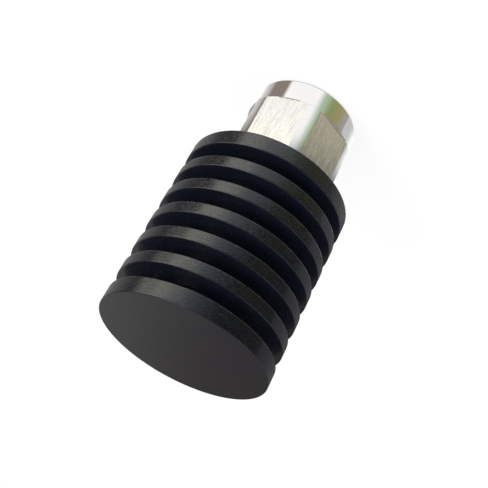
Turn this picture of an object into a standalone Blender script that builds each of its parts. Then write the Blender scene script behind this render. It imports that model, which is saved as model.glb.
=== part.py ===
"""Coaxial terminator: an N-type plug that ends in a resistor inside a round finned heatsink.

The part stands on its head: the coupling nut's front face is on the floor at z = 0, and the
heatsink's closed end disc is on top. The axis of everything turned is the Z axis. Lengths are in
metres. Levels run up from the nut's front face, through the connector, to the end disc.
"""

import math

import bmesh
import bpy
from mathutils import Matrix

# Gaps between the pieces
SEAT_GAP = 0.0002
FIT_GAP = 0.0001
THREAD_GAP = 0.0002
NUT_PLAY_ALONG = 0.0003
NUT_PLAY_ACROSS = 0.0001

# Heatsink
HEATSINK_DIAMETER = 0.0300
CORE_WALL = 0.00155
FIN_COUNT = 7
FIN_THICKNESS = 0.00225
END_FIN_THICKNESS = 0.0030
GROOVE_WIDTH = 0.0028
FIN_EDGE_BREAK = 0.00018
THREAD_DEPTH = 0.0005
THREAD_RUNOUT = 0.0016
BORE_END_SPACE = 0.0005

# Coupling nut
NUT_WALL = 0.0014
NUT_COLLAR_STEP = 0.0004
NUT_CORNER_STEP = 0.0005
NUT_CORNER_SLOPE = math.radians(30)
NUT_CORNER_CHAMFER = 0.0004
NUT_COLLAR_LENGTH = 0.0049
NUT_FRONT_CHAMFER = 0.0006
NUT_BACK_CHAMFER = 0.0003
NUT_THREAD_DIAMETER = 0.0153
NUT_THREAD_LEAD_IN = 0.0004
NUT_UNDERCUT_DEPTH = 0.00045
NUT_UNDERCUT_LENGTH = 0.0042
NUT_LIP_LENGTH = 0.0015
NUT_FACES = 6
NUT_REST_TURN = math.radians(-4.06)

# Connector shell
CONTACT_RECESS = 0.0022
CONTACT_REACH = 0.0091
LINE_DIAMETER = 0.0070
CONTACT_WALL = 0.0005
CONTACT_RIM_CHAMFER = 0.0002
CONTACT_SLOT_COUNT = 6
CONTACT_SLOT_WIDTH = 0.0005
CONTACT_SLOT_LENGTH = 0.0065
BEAD_SEAT_WIDTH = 0.0008
BEAD_SEAT_DEPTH = 0.0013
NECK_WALL = 0.0021
FLANGE_DIAMETER = 0.0184
FLANGE_THICKNESS = 0.0014
FLANGE_ACROSS_FLATS = 0.0170
SHANK_DIAMETER = 0.0155
SHANK_LENGTH = 0.0074
SHANK_RELIEF_DEPTH = 0.00075

# Snap ring and seals
RING_LAND = 0.0008
RING_SLOT_DEPTH = 0.00125
RING_GRIP = 0.0004
RING_WIDTH = 0.0013
RING_THICKNESS = 0.0009
RING_SPLIT = 0.0016
RING_SPRING_SPACE = 0.0008
GASKET_THICKNESS = 0.0015
GASKET_SIDE_SPACE = 0.00035
O_RING_SECTION = 0.0010
O_RING_SIDE_SPACE = 0.0002

# Centre pin and beads
PIN_TIP_RECESS = 0.0007
PIN_TIP_DIAMETER = 0.00165
PIN_TIP_TAPER = 0.0006
PIN_TIP_END_DIAMETER = 0.0007
PIN_SHOULDER_RECESS = 0.0053
PIN_DIAMETER = 0.00304
PIN_COLLAR_DIAMETER = 0.0044
PIN_COLLAR_LENGTH = 0.0009
PIN_TAIL_DIAMETER = 0.0016
PIN_TAIL_LENGTH = 0.0050
PIN_TAIL_FLAT_LENGTH = 0.0022
BEAD_LENGTH = 0.0032

# Resistor carrier
CARRIER_DISC_THICKNESS = 0.0018
TONGUE_END_LENGTH = 0.0048

# Resistor, from its flange up
RESISTOR_SIDE_SPACE = 0.0013
RESISTOR_FLANGE_LENGTH = 0.0046
RESISTOR_FLANGE_THICKNESS = 0.0012
RESISTOR_FLANGE_END = 0.0017
CHIP_LENGTH = 0.0042
CHIP_THICKNESS = 0.0010
CHIP_SIDE_SPACE = 0.00035
COVER_INSET = 0.0003
COVER_TAB_SPACE = 0.0005
COVER_THICKNESS = 0.0006
TAB_WIDTH = 0.0014
TAB_THICKNESS = 0.0002
TAB_SPAN = 0.0010
TAB_ON_CHIP = 0.0013
TAB_ARCH_HEIGHT = 0.0004

# Screws and washers
SCREW_HEAD_RATIO = 2.0
CARRIER_SCREW_SPACE = 0.0008
CARRIER_SCREW_LENGTH = 0.0045
CARRIER_SCREW_HEAD_HEIGHT = 0.0010
FLANGE_SCREW_DIAMETER = 0.0018
FLANGE_SCREW_LENGTH = 0.0030
FLANGE_SCREW_HEAD_HEIGHT = 0.0012
SCREW_SLOT_WIDTH = 0.0005
SCREW_SLOT_DEPTH = 0.0005
WASHER_DIAMETER = 0.0043
WASHER_THICKNESS = 0.0003

# Fineness of the round shapes, and what a cutter reaches beyond its cut
BODY_SEGMENTS = 48
NUT_SEGMENTS = 72
PIN_SEGMENTS = 24
SCREW_SEGMENTS = 20
O_RING_SEGMENTS = 8
TAB_ARCH_STEPS = 8
MERGE_DISTANCE = 0.000001
SHARP_ANGLE = math.radians(25)
CUT_MARGIN = 0.0010

# Diameters that follow from the pieces they fit
contact_diameter = LINE_DIAMETER + 2 * CONTACT_WALL
bead_bore_diameter = LINE_DIAMETER + 2 * BEAD_SEAT_WIDTH
neck_diameter = bead_bore_diameter + 2 * NECK_WALL
ring_slot_diameter = neck_diameter - 2 * RING_SLOT_DEPTH
ring_inner_diameter = neck_diameter - 2 * RING_GRIP
ring_outer_diameter = ring_inner_diameter + 2 * RING_WIDTH
nut_lip_diameter = neck_diameter + 2 * NUT_PLAY_ACROSS
undercut_over_thread = NUT_THREAD_DIAMETER + 2 * NUT_UNDERCUT_DEPTH
undercut_over_ring = ring_outer_diameter + 2 * RING_SPRING_SPACE
nut_undercut_diameter = max(undercut_over_thread, undercut_over_ring)
nut_across_flats = nut_undercut_diameter + 2 * NUT_WALL
nut_collar_diameter = nut_across_flats + 2 * NUT_COLLAR_STEP
nut_corner_diameter = nut_collar_diameter + 2 * NUT_CORNER_STEP
gasket_diameter = NUT_THREAD_DIAMETER - 2 * GASKET_SIDE_SPACE
shank_relief_diameter = SHANK_DIAMETER - 2 * SHANK_RELIEF_DEPTH
counterbore_diameter = shank_relief_diameter + 2 * (O_RING_SECTION + 2 * O_RING_SIDE_SPACE)
heatsink_thread_diameter = SHANK_DIAMETER + 2 * THREAD_GAP
core_diameter = heatsink_thread_diameter + 2 * CORE_WALL
heatsink_bore_diameter = SHANK_DIAMETER - THREAD_DEPTH
carrier_diameter = heatsink_bore_diameter - 2 * SEAT_GAP
carrier_rim = (carrier_diameter - LINE_DIAMETER) / 2
carrier_screw_head_diameter = carrier_rim - CARRIER_SCREW_SPACE - SEAT_GAP
carrier_screw_diameter = carrier_screw_head_diameter / SCREW_HEAD_RATIO
carrier_screw_spacing = carrier_diameter - carrier_screw_head_diameter - 2 * SEAT_GAP
flange_screw_head_diameter = FLANGE_SCREW_DIAMETER * SCREW_HEAD_RATIO
resistor_flange_width = heatsink_bore_diameter - 2 * RESISTOR_SIDE_SPACE
flange_screw_spacing = resistor_flange_width - 2 * RESISTOR_FLANGE_END
chip_width = flange_screw_spacing - WASHER_DIAMETER - 2 * CHIP_SIDE_SPACE
cover_width = chip_width - 2 * COVER_INSET
cover_length = CHIP_LENGTH - TAB_ON_CHIP - COVER_TAB_SPACE

# Levels through the connector, from the nut's front face up
contact_rim_z = CONTACT_RECESS
gasket_front_z = contact_rim_z + CONTACT_REACH
gasket_back_z = gasket_front_z + GASKET_THICKNESS
neck_front_z = gasket_back_z + SEAT_GAP
ring_slot_front_z = neck_front_z + RING_LAND
ring_front_z = ring_slot_front_z + SEAT_GAP
ring_back_z = ring_front_z + RING_THICKNESS
ring_slot_back_z = ring_back_z + SEAT_GAP
lip_front_z = ring_back_z + NUT_PLAY_ALONG
nut_back_z = lip_front_z + NUT_LIP_LENGTH
flange_front_z = nut_back_z + NUT_PLAY_ALONG
flange_back_z = flange_front_z + FLANGE_THICKNESS
shank_back_z = flange_back_z + SHANK_LENGTH

# Levels of the beads, the carrier's disc and the pin
bead_seat_z = neck_front_z + BEAD_SEAT_DEPTH
front_bead_z = bead_seat_z + FIT_GAP
rear_bead_z = front_bead_z + BEAD_LENGTH + FIT_GAP
line_sleeve_z = rear_bead_z + BEAD_LENGTH + FIT_GAP
carrier_front_z = shank_back_z + SEAT_GAP
disc_back_z = carrier_front_z + CARRIER_DISC_THICKNESS
pin_tip_z = PIN_TIP_RECESS
pin_shoulder_z = contact_rim_z + PIN_SHOULDER_RECESS
pin_collar_z = rear_bead_z + FIT_GAP
pin_tail_z = disc_back_z - SEAT_GAP
pin_end_z = pin_tail_z + PIN_TAIL_LENGTH

# Levels of the resistor along the axis, and its layers across it
chip_z = pin_end_z + TAB_SPAN
resistor_z = chip_z - (RESISTOR_FLANGE_LENGTH - CHIP_LENGTH) / 2
flange_screw_z = resistor_z + RESISTOR_FLANGE_LENGTH / 2
tongue_back_z = resistor_z + RESISTOR_FLANGE_LENGTH + TONGUE_END_LENGTH
chip_top_y = -(TAB_THICKNESS / 2 + FIT_GAP)
flange_top_y = chip_top_y - CHIP_THICKNESS - FIT_GAP
tongue_top_y = flange_top_y - RESISTOR_FLANGE_THICKNESS - FIT_GAP
washer_bottom_y = flange_top_y + FIT_GAP
flange_screw_y = washer_bottom_y + WASHER_THICKNESS + FIT_GAP

# Levels through the heatsink, from its mouth up
mouth_z = flange_back_z + SEAT_GAP
counterbore_top_z = flange_back_z + O_RING_SECTION + 2 * O_RING_SIDE_SPACE
thread_end_z = shank_back_z + THREAD_RUNOUT
bore_end_z = tongue_back_z + BORE_END_SPACE
heatsink_length = (
    2 * END_FIN_THICKNESS
    + (FIN_COUNT - 2) * FIN_THICKNESS
    + (FIN_COUNT - 1) * GROOVE_WIDTH
)
top_z = mouth_z + heatsink_length


def clear_scene():
    """Removes every object that the file started with."""
    for obj in list(bpy.data.objects):
        bpy.data.objects.remove(obj, do_unlink=True)


def new_collection(name):
    collection = bpy.data.collections.new(name)
    bpy.context.scene.collection.children.link(collection)
    return collection


def finish_of(name, colour, roughness, metallic):
    """A plain surface material."""
    material = bpy.data.materials.new(name)
    material.use_nodes = True
    shader = material.node_tree.nodes["Principled BSDF"]
    shader.inputs["Base Color"].default_value = (*colour, 1.0)
    shader.inputs["Roughness"].default_value = roughness
    shader.inputs["Metallic"].default_value = metallic
    material.diffuse_color = (*colour, 1.0)
    return material


def add_object(name, mesh, collection):
    obj = bpy.data.objects.new(name, mesh)
    collection.objects.link(obj)
    return obj


def turned(name, profile, segments, closed, collection):
    """Turns a profile of (radius, z) points round the Z axis.

    The points run down the outer side. A closed profile comes back up the inner side. An open one
    starts and ends on the axis.
    """
    mesh = bpy.data.meshes.new(name)
    points = [(radius, 0.0, z) for radius, z in profile]
    edges = [(index, index + 1) for index in range(len(points) - 1)]
    if closed:
        edges.append((len(points) - 1, 0))
    mesh.from_pydata(points, edges, [])
    obj = add_object(name, mesh, collection)
    screw = obj.modifiers.new("turning", "SCREW")
    screw.axis = "Z"
    screw.steps = segments
    screw.render_steps = segments
    screw.use_merge_vertices = True
    screw.merge_threshold = MERGE_DISTANCE
    return obj


def box(name, size, centre, collection):
    """An upright box of (x, y, z) size round a centre."""
    mesh = bpy.data.meshes.new(name)
    shape = bmesh.new()
    bmesh.ops.create_cube(shape, size=1.0)
    bmesh.ops.transform(
        shape, matrix=Matrix.Translation(centre) @ Matrix.Diagonal((*size, 1.0)), verts=shape.verts
    )
    shape.to_mesh(mesh)
    shape.free()
    return add_object(name, mesh, collection)


def rod(name, diameter, length, centre, segments, collection, lying=False):
    """A cylinder along Z round a centre, or along Y if it is lying."""
    mesh = bpy.data.meshes.new(name)
    shape = bmesh.new()
    bmesh.ops.create_cone(
        shape,
        cap_ends=True,
        segments=segments,
        radius1=diameter / 2,
        radius2=diameter / 2,
        depth=length,
    )
    turn = Matrix.Rotation(math.radians(90), 4, "X") if lying else Matrix.Identity(4)
    bmesh.ops.transform(shape, matrix=Matrix.Translation(centre) @ turn, verts=shape.verts)
    shape.to_mesh(mesh)
    shape.free()
    return add_object(name, mesh, collection)


def cut(obj, cutter):
    """Takes the cutter's shape out of the object."""
    cutter.hide_render = True
    cutter.display_type = "WIRE"
    boolean = obj.modifiers.new("cut " + cutter.name, "BOOLEAN")
    boolean.operation = "DIFFERENCE"
    boolean.solver = "EXACT"
    boolean.object = cutter


def complete(obj, material):
    """Makes the modifiers' result the object's own mesh and gives it its material and shading."""
    graph = bpy.context.evaluated_depsgraph_get()
    profile_mesh = obj.data
    mesh = bpy.data.meshes.new_from_object(obj.evaluated_get(graph))
    obj.modifiers.clear()
    obj.data = mesh
    bpy.data.meshes.remove(profile_mesh)
    mesh.name = obj.name
    mesh.materials.clear()
    mesh.materials.append(material)
    mesh.shade_smooth()
    mesh.set_sharp_from_angle(angle=SHARP_ANGLE)
    return obj


def fin_side():
    """The heatsink's outer side, from the end disc down to the mouth, with broken fin edges."""
    outer = HEATSINK_DIAMETER / 2
    core = core_diameter / 2
    points = []
    fin_top = top_z
    for index in range(FIN_COUNT):
        at_end = index in (0, FIN_COUNT - 1)
        fin_bottom = fin_top - (END_FIN_THICKNESS if at_end else FIN_THICKNESS)
        if index > 0:
            points.append((core, fin_top))
        points += [
            (outer - FIN_EDGE_BREAK, fin_top),
            (outer, fin_top - FIN_EDGE_BREAK),
            (outer, fin_bottom + FIN_EDGE_BREAK),
            (outer - FIN_EDGE_BREAK, fin_bottom),
        ]
        if index < FIN_COUNT - 1:
            points.append((core, fin_bottom))
        fin_top = fin_bottom - GROOVE_WIDTH
    return points


def make_heatsink(parts):
    """Seven fins round a core, with a blind bore that is counterbored and threaded at the mouth."""
    counterbore = counterbore_diameter / 2
    thread = heatsink_thread_diameter / 2
    bore = heatsink_bore_diameter / 2
    profile = [(0.0, top_z)] + fin_side()
    profile += [
        (counterbore, mouth_z),
        (counterbore, counterbore_top_z),
        (thread, counterbore_top_z),
        (thread, thread_end_z),
        (bore, thread_end_z),
        (bore, bore_end_z),
        (0.0, bore_end_z),
    ]
    obj = turned("heatsink", profile, BODY_SEGMENTS, False, parts)
    return complete(obj, finish_of("black anodised aluminium", (0.030, 0.030, 0.033), 0.5, 0.35))


def make_coupling_nut(parts, cutters):
    """A turned nut with a round front collar, and six flats milled on its rear part."""
    corner = nut_corner_diameter / 2
    collar = nut_collar_diameter / 2
    thread = NUT_THREAD_DIAMETER / 2
    undercut = nut_undercut_diameter / 2
    lip = nut_lip_diameter / 2
    slope = math.tan(NUT_CORNER_SLOPE)
    lead_in = NUT_THREAD_LEAD_IN
    undercut_front_z = lip_front_z - NUT_UNDERCUT_LENGTH
    profile = [
        (lip + NUT_BACK_CHAMFER, nut_back_z),
        (corner - NUT_CORNER_CHAMFER, nut_back_z),
        (corner, nut_back_z - NUT_CORNER_CHAMFER * slope),
        (corner, NUT_COLLAR_LENGTH + NUT_CORNER_STEP * slope),
        (collar, NUT_COLLAR_LENGTH),
        (collar, NUT_FRONT_CHAMFER),
        (collar - NUT_FRONT_CHAMFER, 0.0),
        (thread + lead_in, 0.0),
        (thread, lead_in),
        (thread, undercut_front_z - (undercut - thread)),
        (undercut, undercut_front_z),
        (undercut, lip_front_z),
        (lip, lip_front_z),
        (lip, nut_back_z - NUT_BACK_CHAMFER),
    ]
    obj = turned("coupling_nut", profile, NUT_SEGMENTS, True, parts)
    mill_nut_flats(obj, cutters)
    complete(obj, finish_of("nickel plated brass", (0.66, 0.63, 0.56), 0.22, 1.0))
    axis = bpy.data.objects.new("coupling_nut_axis", None)
    axis.empty_display_size = nut_across_flats
    parts.objects.link(axis)
    obj.parent = axis
    axis.rotation_euler.z = math.radians(-90) + NUT_REST_TURN
    return obj


def mill_nut_flats(obj, cutters):
    """Cuts the six flats with upright boxes that stop at the collar."""
    depth = nut_corner_diameter / 2 - nut_across_flats / 2 + CUT_MARGIN
    height = nut_back_z - NUT_COLLAR_LENGTH + CUT_MARGIN
    width = nut_across_flats * math.tan(math.pi / NUT_FACES) - FIT_GAP
    centre = (nut_across_flats / 2 + depth / 2, 0.0, NUT_COLLAR_LENGTH + height / 2)
    for index in range(NUT_FACES):
        cutter = box(f"nut_flat_{index + 1}", (depth, width, height), centre, cutters)
        turn = Matrix.Rotation((index + 0.5) * math.tau / NUT_FACES, 4, "Z")
        cutter.data.transform(turn)
        cut(obj, cutter)


def make_connector_shell(parts, cutters):
    """The plug's body in one piece: slotted contact, neck, wrench flange and threaded shank."""
    contact = contact_diameter / 2
    line = LINE_DIAMETER / 2
    neck = neck_diameter / 2
    ring_slot = ring_slot_diameter / 2
    flange = FLANGE_DIAMETER / 2
    relief = shank_relief_diameter / 2
    shank = SHANK_DIAMETER / 2
    bead_bore = bead_bore_diameter / 2
    rim = CONTACT_RIM_CHAMFER
    profile = [
        (shank - FIT_GAP, shank_back_z),
        (shank, shank_back_z - FIT_GAP),
        (shank, counterbore_top_z + SEAT_GAP),
        (relief, counterbore_top_z + SEAT_GAP),
        (relief, flange_back_z),
        (flange, flange_back_z),
        (flange, flange_front_z),
        (neck, flange_front_z),
        (neck, ring_slot_back_z),
        (ring_slot, ring_slot_back_z),
        (ring_slot, ring_slot_front_z),
        (neck, ring_slot_front_z),
        (neck, neck_front_z),
        (contact, neck_front_z),
        (contact, contact_rim_z + rim),
        (contact - rim, contact_rim_z),
        (line, contact_rim_z),
        (line, bead_seat_z),
        (bead_bore, bead_seat_z),
        (bead_bore, shank_back_z),
    ]
    obj = turned("connector_shell", profile, BODY_SEGMENTS, True, parts)
    cut_contact_slots(obj, cutters)
    mill_wrench_flats(obj, cutters)
    drill_shell_holes(obj, cutters)
    return complete(obj, finish_of("nickel plated shell", (0.60, 0.58, 0.53), 0.28, 1.0))


def cut_contact_slots(obj, cutters):
    """Splits the outer contact into spring fingers. Each thin box cuts two opposite slots."""
    slot_height = CONTACT_SLOT_LENGTH + CUT_MARGIN
    slot_centre = (0.0, 0.0, contact_rim_z - CUT_MARGIN + slot_height / 2)
    slot_size = (contact_diameter + CUT_MARGIN, CONTACT_SLOT_WIDTH, slot_height)
    for index in range(CONTACT_SLOT_COUNT // 2):
        cutter = box(f"contact_slots_{index + 1}", slot_size, slot_centre, cutters)
        cutter.data.transform(Matrix.Rotation(index * math.tau / CONTACT_SLOT_COUNT, 4, "Z"))
        cut(obj, cutter)


def mill_wrench_flats(obj, cutters):
    """Two opposite flats on the flange, for holding the shell while it is screwed in."""
    flat_depth = (FLANGE_DIAMETER - FLANGE_ACROSS_FLATS) / 2 + CUT_MARGIN
    flat_size = (flat_depth, FLANGE_DIAMETER, FLANGE_THICKNESS + 2 * SEAT_GAP)
    flat_x = FLANGE_ACROSS_FLATS / 2 + flat_depth / 2
    flat_z = (flange_front_z + flange_back_z) / 2
    for side in (-1, 1):
        cut(obj, box(f"wrench_flat_{side}", flat_size, (side * flat_x, 0.0, flat_z), cutters))


def drill_shell_holes(obj, cutters):
    """Two blind holes in the shank's rear face for the carrier's screws."""
    hole_diameter = carrier_screw_diameter + 2 * THREAD_GAP
    hole_depth = CARRIER_SCREW_LENGTH - CARRIER_DISC_THICKNESS + SEAT_GAP
    hole_z = shank_back_z - hole_depth / 2 + CUT_MARGIN / 2
    for side in (-1, 1):
        centre = (side * carrier_screw_spacing / 2, 0.0, hole_z)
        name = f"shell_screw_hole_{side}"
        size = hole_depth + CUT_MARGIN
        cut(obj, rod(name, hole_diameter, size, centre, SCREW_SEGMENTS, cutters))


def make_snap_ring(parts, cutters):
    """A flat spring ring with one split, in the neck's slot."""
    inner = ring_inner_diameter / 2
    outer = ring_outer_diameter / 2
    profile = [
        (outer, ring_back_z),
        (outer, ring_front_z),
        (inner, ring_front_z),
        (inner, ring_back_z),
    ]
    obj = turned("snap_ring", profile, BODY_SEGMENTS, True, parts)
    size = (ring_outer_diameter, RING_SPLIT, RING_THICKNESS + 2 * CUT_MARGIN)
    centre = (-ring_outer_diameter / 2, 0.0, (ring_front_z + ring_back_z) / 2)
    cut(obj, box("ring_split", size, centre, cutters))
    return complete(obj, finish_of("spring steel", (0.42, 0.41, 0.40), 0.35, 1.0))


def make_mating_gasket(parts):
    """A flat silicone ring round the outer contact, against the neck's front face."""
    inner = contact_diameter / 2 + FIT_GAP
    outer = gasket_diameter / 2
    profile = [
        (outer, gasket_back_z),
        (outer, gasket_front_z),
        (inner, gasket_front_z),
        (inner, gasket_back_z),
    ]
    obj = turned("mating_gasket", profile, BODY_SEGMENTS, True, parts)
    return complete(obj, finish_of("silicone rubber", (0.45, 0.06, 0.04), 0.6, 0.0))


def make_mouth_o_ring(parts):
    """A rubber ring round the shank's relief, between the flange and the counterbore's floor."""
    section = O_RING_SECTION / 2
    bpy.ops.mesh.primitive_torus_add(
        major_segments=BODY_SEGMENTS,
        minor_segments=O_RING_SEGMENTS,
        major_radius=shank_relief_diameter / 2 + O_RING_SIDE_SPACE + section,
        minor_radius=section,
        location=(0.0, 0.0, flange_back_z + O_RING_SIDE_SPACE + section),
    )
    obj = bpy.context.object
    obj.name = "mouth_o_ring"
    for collection in list(obj.users_collection):
        collection.objects.unlink(obj)
    parts.objects.link(obj)
    return complete(obj, finish_of("black rubber", (0.02, 0.02, 0.02), 0.7, 0.0))


def make_centre_pin(parts, cutters):
    """The inner conductor: stepped tip, collar between the beads, and a tail with one flat."""
    tip = PIN_TIP_DIAMETER / 2
    pin = PIN_DIAMETER / 2
    tail = PIN_TAIL_DIAMETER / 2
    collar = PIN_COLLAR_DIAMETER / 2
    collar_back_z = pin_collar_z + PIN_COLLAR_LENGTH
    profile = [
        (0.0, pin_end_z),
        (tail, pin_end_z),
        (tail, pin_tail_z),
        (pin, pin_tail_z),
        (pin, collar_back_z),
        (collar, collar_back_z),
        (collar, pin_collar_z),
        (pin, pin_collar_z),
        (pin, pin_shoulder_z),
        (tip, pin_shoulder_z),
        (tip, pin_tip_z + PIN_TIP_TAPER),
        (PIN_TIP_END_DIAMETER / 2, pin_tip_z),
        (0.0, pin_tip_z),
    ]
    obj = turned("centre_pin", profile, PIN_SEGMENTS, False, parts)
    length = PIN_TAIL_FLAT_LENGTH + CUT_MARGIN
    size = (PIN_TAIL_DIAMETER + CUT_MARGIN, PIN_TAIL_DIAMETER, length)
    centre = (0.0, chip_top_y + PIN_TAIL_DIAMETER / 2, pin_end_z - PIN_TAIL_FLAT_LENGTH + length / 2)
    cut(obj, box("pin_tail_flat", size, centre, cutters))
    return complete(obj, finish_of("gold plated pin", (0.83, 0.60, 0.25), 0.22, 1.0))


def make_beads(parts):
    """Two equal plastic beads. The rear one has the recess that holds the pin's collar."""
    outer = bead_bore_diameter / 2 - FIT_GAP
    hole = PIN_DIAMETER / 2 + FIT_GAP
    recess = PIN_COLLAR_DIAMETER / 2 + FIT_GAP
    recess_depth = PIN_COLLAR_LENGTH + 2 * FIT_GAP
    material = finish_of("white fluoroplastic", (0.82, 0.81, 0.78), 0.45, 0.0)
    front = [
        (outer, front_bead_z + BEAD_LENGTH),
        (outer, front_bead_z),
        (hole, front_bead_z),
        (hole, front_bead_z + BEAD_LENGTH),
    ]
    rear = [
        (outer, rear_bead_z + BEAD_LENGTH),
        (outer, rear_bead_z),
        (recess, rear_bead_z),
        (recess, rear_bead_z + recess_depth),
        (hole, rear_bead_z + recess_depth),
        (hole, rear_bead_z + BEAD_LENGTH),
    ]
    complete(turned("front_bead", front, BODY_SEGMENTS, True, parts), material)
    complete(turned("rear_bead", rear, BODY_SEGMENTS, True, parts), material)


def make_line_sleeve(parts):
    """A brass sleeve behind the beads, with the line's inside diameter."""
    outer = bead_bore_diameter / 2 - FIT_GAP
    inner = LINE_DIAMETER / 2
    back_z = carrier_front_z - FIT_GAP
    profile = [
        (outer, back_z),
        (outer, line_sleeve_z),
        (inner, line_sleeve_z),
        (inner, back_z),
    ]
    obj = turned("line_sleeve", profile, BODY_SEGMENTS, True, parts)
    return complete(obj, finish_of("brass", (0.72, 0.52, 0.24), 0.3, 1.0))


def make_resistor_carrier(parts, cutters):
    """A copper disc against the shank, with a half-round tongue that carries the resistor."""
    length = tongue_back_z - carrier_front_z
    centre = (0.0, 0.0, carrier_front_z + length / 2)
    obj = rod("resistor_carrier", carrier_diameter, length, centre, BODY_SEGMENTS, parts)
    tall = carrier_diameter / 2 - tongue_top_y + CUT_MARGIN
    deep = tongue_back_z - disc_back_z + CUT_MARGIN
    size = (carrier_diameter + CUT_MARGIN, tall, deep)
    centre = (0.0, tongue_top_y + tall / 2, disc_back_z + deep / 2)
    cut(obj, box("tongue_space", size, centre, cutters))
    drill_carrier_disc(obj, cutters)
    drill_tongue(obj, cutters)
    return complete(obj, finish_of("copper", (0.78, 0.38, 0.24), 0.3, 1.0))


def drill_carrier_disc(obj, cutters):
    """The line's hole through the disc, and the two screws' holes beside it."""
    length = CARRIER_DISC_THICKNESS + CUT_MARGIN + SEAT_GAP
    centre_z = disc_back_z + SEAT_GAP - length / 2
    centre = (0.0, 0.0, centre_z)
    cut(obj, rod("line_hole", LINE_DIAMETER, length, centre, BODY_SEGMENTS, cutters))
    diameter = carrier_screw_diameter + 2 * THREAD_GAP
    for side in (-1, 1):
        centre = (side * carrier_screw_spacing / 2, 0.0, centre_z)
        name = f"carrier_screw_hole_{side}"
        cut(obj, rod(name, diameter, length, centre, SCREW_SEGMENTS, cutters))


def drill_tongue(obj, cutters):
    """Two blind holes across the tongue for the resistor's screws."""
    diameter = FLANGE_SCREW_DIAMETER + 2 * THREAD_GAP
    reach = flange_screw_y - FLANGE_SCREW_LENGTH - SEAT_GAP
    depth = tongue_top_y - reach + CUT_MARGIN
    for side in (-1, 1):
        centre = (side * flange_screw_spacing / 2, reach + depth / 2, flange_screw_z)
        name = f"tongue_screw_hole_{side}"
        cut(obj, rod(name, diameter, depth, centre, SCREW_SEGMENTS, cutters, lying=True))


def make_resistor(parts, cutters):
    """The power resistor: plated flange, ceramic chip, cover over the film, and the arched tab."""
    flange_y = (flange_top_y + tongue_top_y + FIT_GAP) / 2
    size = (resistor_flange_width, RESISTOR_FLANGE_THICKNESS, RESISTOR_FLANGE_LENGTH)
    flange = box("resistor_flange", size, (0.0, flange_y, flange_screw_z), parts)
    diameter = FLANGE_SCREW_DIAMETER + 2 * THREAD_GAP
    depth = RESISTOR_FLANGE_THICKNESS + 2 * CUT_MARGIN
    for side in (-1, 1):
        centre = (side * flange_screw_spacing / 2, flange_y, flange_screw_z)
        name = f"flange_hole_{side}"
        cut(flange, rod(name, diameter, depth, centre, SCREW_SEGMENTS, cutters, lying=True))
    complete(flange, finish_of("plated copper", (0.70, 0.66, 0.58), 0.3, 1.0))

    chip_y = chip_top_y - CHIP_THICKNESS / 2
    size = (chip_width, CHIP_THICKNESS, CHIP_LENGTH)
    chip = box("resistor_chip", size, (0.0, chip_y, chip_z + CHIP_LENGTH / 2), parts)
    complete(chip, finish_of("aluminium nitride", (0.55, 0.53, 0.48), 0.6, 0.0))

    cover_y = chip_top_y + FIT_GAP + COVER_THICKNESS / 2
    cover_z = chip_z + CHIP_LENGTH - cover_length / 2
    size = (cover_width, COVER_THICKNESS, cover_length)
    cover = box("resistor_cover", size, (0.0, cover_y, cover_z), parts)
    complete(cover, finish_of("white alumina", (0.85, 0.84, 0.80), 0.5, 0.0))

    complete(tab_strip(parts), finish_of("silver plated strip", (0.80, 0.79, 0.76), 0.25, 1.0))


def tab_strip(parts):
    """A strip from the pin's flat to the chip, with an arch between them that takes up strain."""
    centres = [(pin_end_z - PIN_TAIL_FLAT_LENGTH + SEAT_GAP, 0.0)]
    for index in range(TAB_ARCH_STEPS + 1):
        along = index / TAB_ARCH_STEPS
        rise = TAB_ARCH_HEIGHT * (1 - math.cos(math.tau * along)) / 2
        centres.append((pin_end_z + TAB_SPAN * along, rise))
    centres.append((chip_z + TAB_ON_CHIP, 0.0))
    outline = [(z, y + TAB_THICKNESS / 2) for z, y in centres]
    outline += [(z, y - TAB_THICKNESS / 2) for z, y in reversed(centres)]
    curve = bpy.data.curves.new("resistor_tab", "CURVE")
    curve.dimensions = "2D"
    curve.fill_mode = "BOTH"
    curve.extrude = TAB_WIDTH / 2
    spline = curve.splines.new("POLY")
    spline.points.add(len(outline) - 1)
    for point, (z, y) in zip(spline.points, outline):
        point.co = (z, y, 0.0, 1.0)
    spline.use_cyclic_u = True
    drawn = add_object("tab_outline", curve, parts)
    drawn.rotation_euler.y = math.radians(-90)
    bpy.context.view_layer.update()
    graph = bpy.context.evaluated_depsgraph_get()
    mesh = bpy.data.meshes.new_from_object(drawn.evaluated_get(graph))
    shape = bmesh.new()
    shape.from_mesh(mesh)
    bmesh.ops.remove_doubles(shape, verts=shape.verts, dist=MERGE_DISTANCE)
    bmesh.ops.recalc_face_normals(shape, faces=shape.faces)
    shape.to_mesh(mesh)
    shape.free()
    obj = add_object("resistor_tab", mesh, parts)
    obj.matrix_world = drawn.matrix_world.copy()
    bpy.data.objects.remove(drawn, do_unlink=True)
    return obj


def slotted_screw(name, sizes, parts, cutters):
    """A cheese-head screw with its seat at the origin, its head above and its shank below.

    The sizes are the head's diameter and height, and the shank's diameter and length.
    """
    head_diameter, head_height, shank_diameter, shank_length = sizes
    head = head_diameter / 2
    shank = shank_diameter / 2
    profile = [
        (0.0, head_height),
        (head - FIT_GAP, head_height),
        (head, head_height - FIT_GAP),
        (head, 0.0),
        (shank, 0.0),
        (shank, FIT_GAP - shank_length),
        (shank - FIT_GAP, -shank_length),
        (0.0, -shank_length),
    ]
    obj = turned(name, profile, SCREW_SEGMENTS, False, parts)
    slot_height = SCREW_SLOT_DEPTH + CUT_MARGIN
    size = (head_diameter + CUT_MARGIN, SCREW_SLOT_WIDTH, slot_height)
    centre = (0.0, 0.0, head_height - SCREW_SLOT_DEPTH + slot_height / 2)
    cut(obj, box(name + "_slot", size, centre, cutters))
    return obj


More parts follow.
